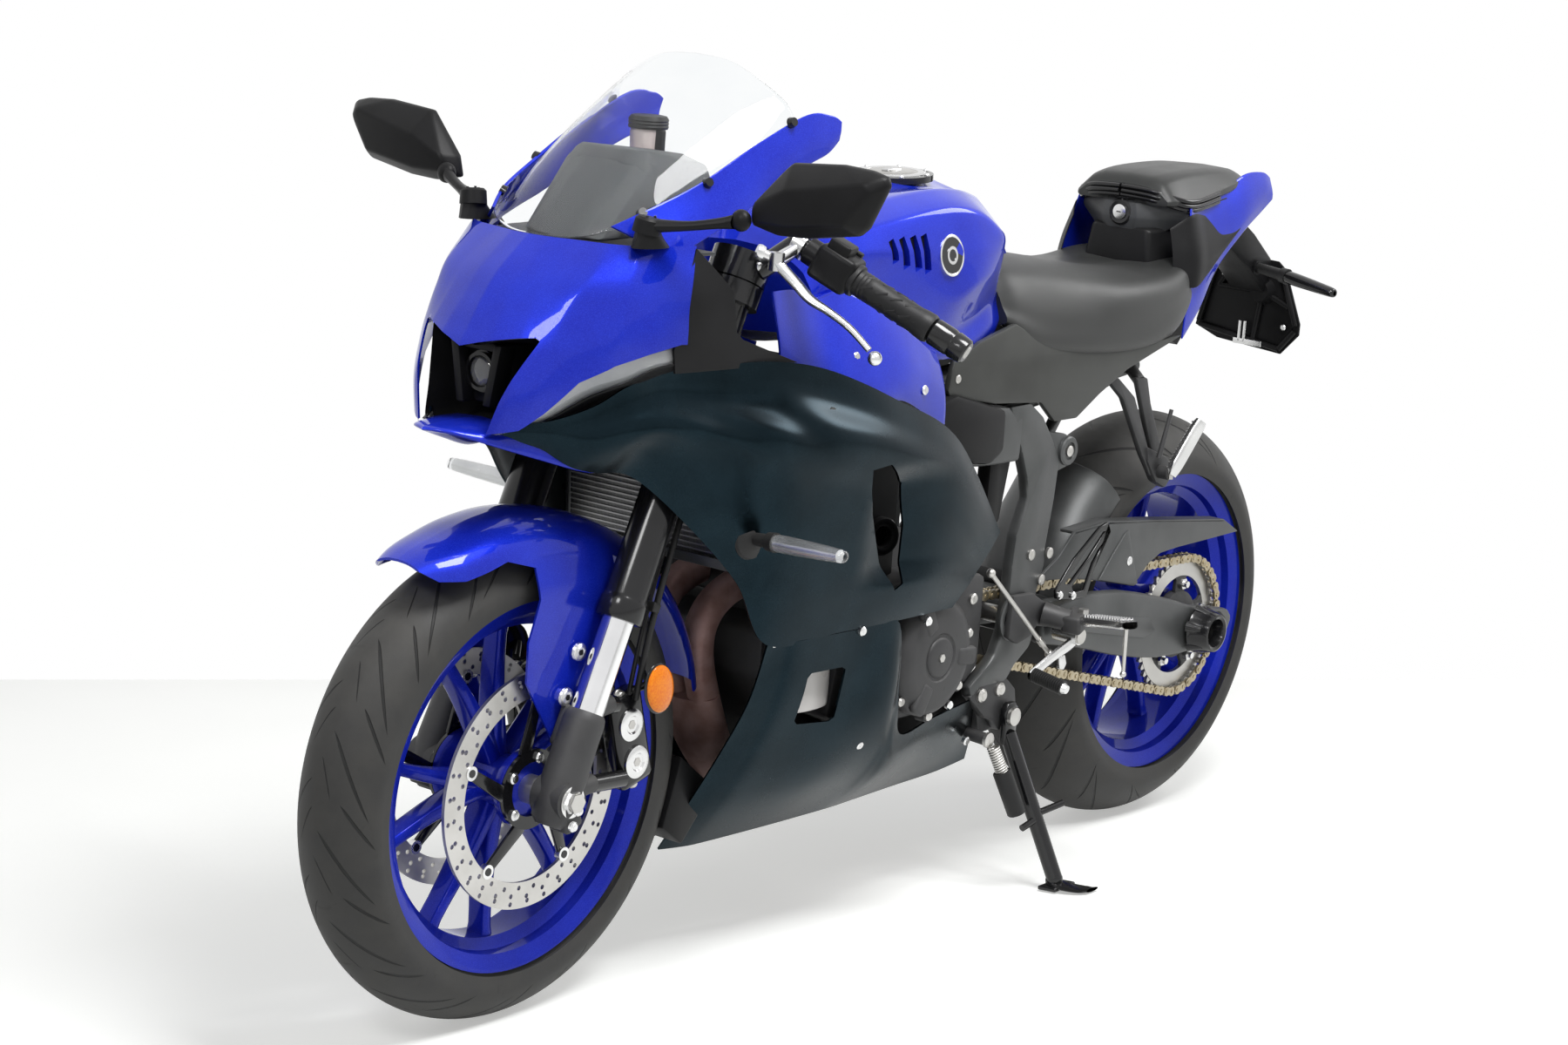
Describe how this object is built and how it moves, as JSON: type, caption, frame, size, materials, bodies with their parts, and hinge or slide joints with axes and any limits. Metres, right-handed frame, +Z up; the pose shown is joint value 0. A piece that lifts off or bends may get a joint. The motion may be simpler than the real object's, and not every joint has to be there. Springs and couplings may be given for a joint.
{
  "type": "sport motorcycle",
  "caption": "Faired middleweight sport motorcycle leaning on its side stand, with turning wheels, steering and a folding stand.",
  "frame": {"origin": "on the floor under the middle of the whole bounding box", "axes": "+X towards the front wheel, +Y to the rider's left, +Z up; the machine leans 5.3 degrees to the left on its stand"},
  "size_m": [2.0109, 0.8464, 1.1771],
  "materials": {
    "black_metal": "gloss",
    "black_plastic": "matte",
    "blue_paint": "gloss",
    "cast_grey": "rough cast",
    "chain": "satin",
    "chrome": "polished",
    "dark_panel": "satin",
    "exhaust_steel": "heat-tinted",
    "grey_metal": "satin",
    "lens": "clear",
    "rubber": "matte",
    "screen": "clear",
    "steel": "satin",
    "tyre": "matte",
    "vinyl": "matte"
  },
  "bodies": {
    "chassis": {"brake_pedal": "grey_metal", "chain_guard": "grey_metal", "cowl_panels": "black_plastic", "drive_chain": "chain", "engine_block": "cast_grey", "engine_covers": "cast_grey", "exhaust": "exhaust_steel", "footrests": "grey_metal", "front_cowl": "blue_paint", "front_indicators": "lens", "fuel_tank": "blue_paint", "headlamp": "black_plastic", "instrument_panel": "black_plastic", "lower_fairings": "dark_panel", "main_frame": "grey_metal", "mirrors": "black_plastic", "passenger_rests": "grey_metal", "passenger_seat": "vinyl", "plate_holder": "black_plastic", "radiator": "grey_metal", "rear_axle": "steel", "rear_caliper": "black_metal", "rear_hugger": "black_plastic", "rear_indicators": "lens", "rider_seat": "vinyl", "seat_side_panels": "grey_metal", "shift_lever": "grey_metal", "side_fairings": "dark_panel", "swing_bolt": "steel", "swingarm": "grey_metal", "tail_core": "black_plastic", "tail_lamp": "lens", "tail_wings": "blue_paint", "tank_covers": "blue_paint", "windscreen": "screen"},
    "front_wheel": {"front_tyre": "tyre", "front_rim": "blue_paint", "front_discs": "steel"},
    "rear_wheel": {"rear_tyre": "tyre", "rear_rim": "blue_paint", "rear_disc": "steel", "rear_sprocket": "steel"},
    "steering": {"fork_carriers": "cast_grey", "fork_inner_tubes": "chrome", "fork_outer_tubes": "black_metal", "fork_yokes": "black_metal", "handlebars": "black_metal", "grips": "rubber", "bar_weights": "black_plastic", "bar_controls": "black_metal", "front_axle": "steel", "front_fender": "blue_paint", "front_calipers": "black_metal"},
    "side_stand": {"side_stand": "black_metal"}
  },
  "joints": [
    {"name": "steering_turn", "type": "hinge", "parent": "chassis", "child": "steering", "pos_m": [0.67052, -0.0712, 0.28371], "axis": [-0.4019, 0.0846, 0.9118], "range_deg": [-26, 26]},
    {"name": "front_wheel_spin", "type": "hinge", "parent": "steering", "child": "front_wheel", "pos_m": [0.70548, -0.06979, 0.29898], "axis": [0, 0.9957, -0.0924], "continuous": true},
    {"name": "rear_wheel_spin", "type": "hinge", "parent": "chassis", "child": "rear_wheel", "pos_m": [-0.68952, -0.06839, 0.31406], "axis": [0, 0.9957, -0.0924], "continuous": true},
    {"name": "stand_fold", "type": "hinge", "parent": "chassis", "child": "side_stand", "pos_m": [-0.18952, 0.07607, 0.24738], "axis": [0, 0.9957, -0.0924], "range_deg": [0, 90]}
  ]
}
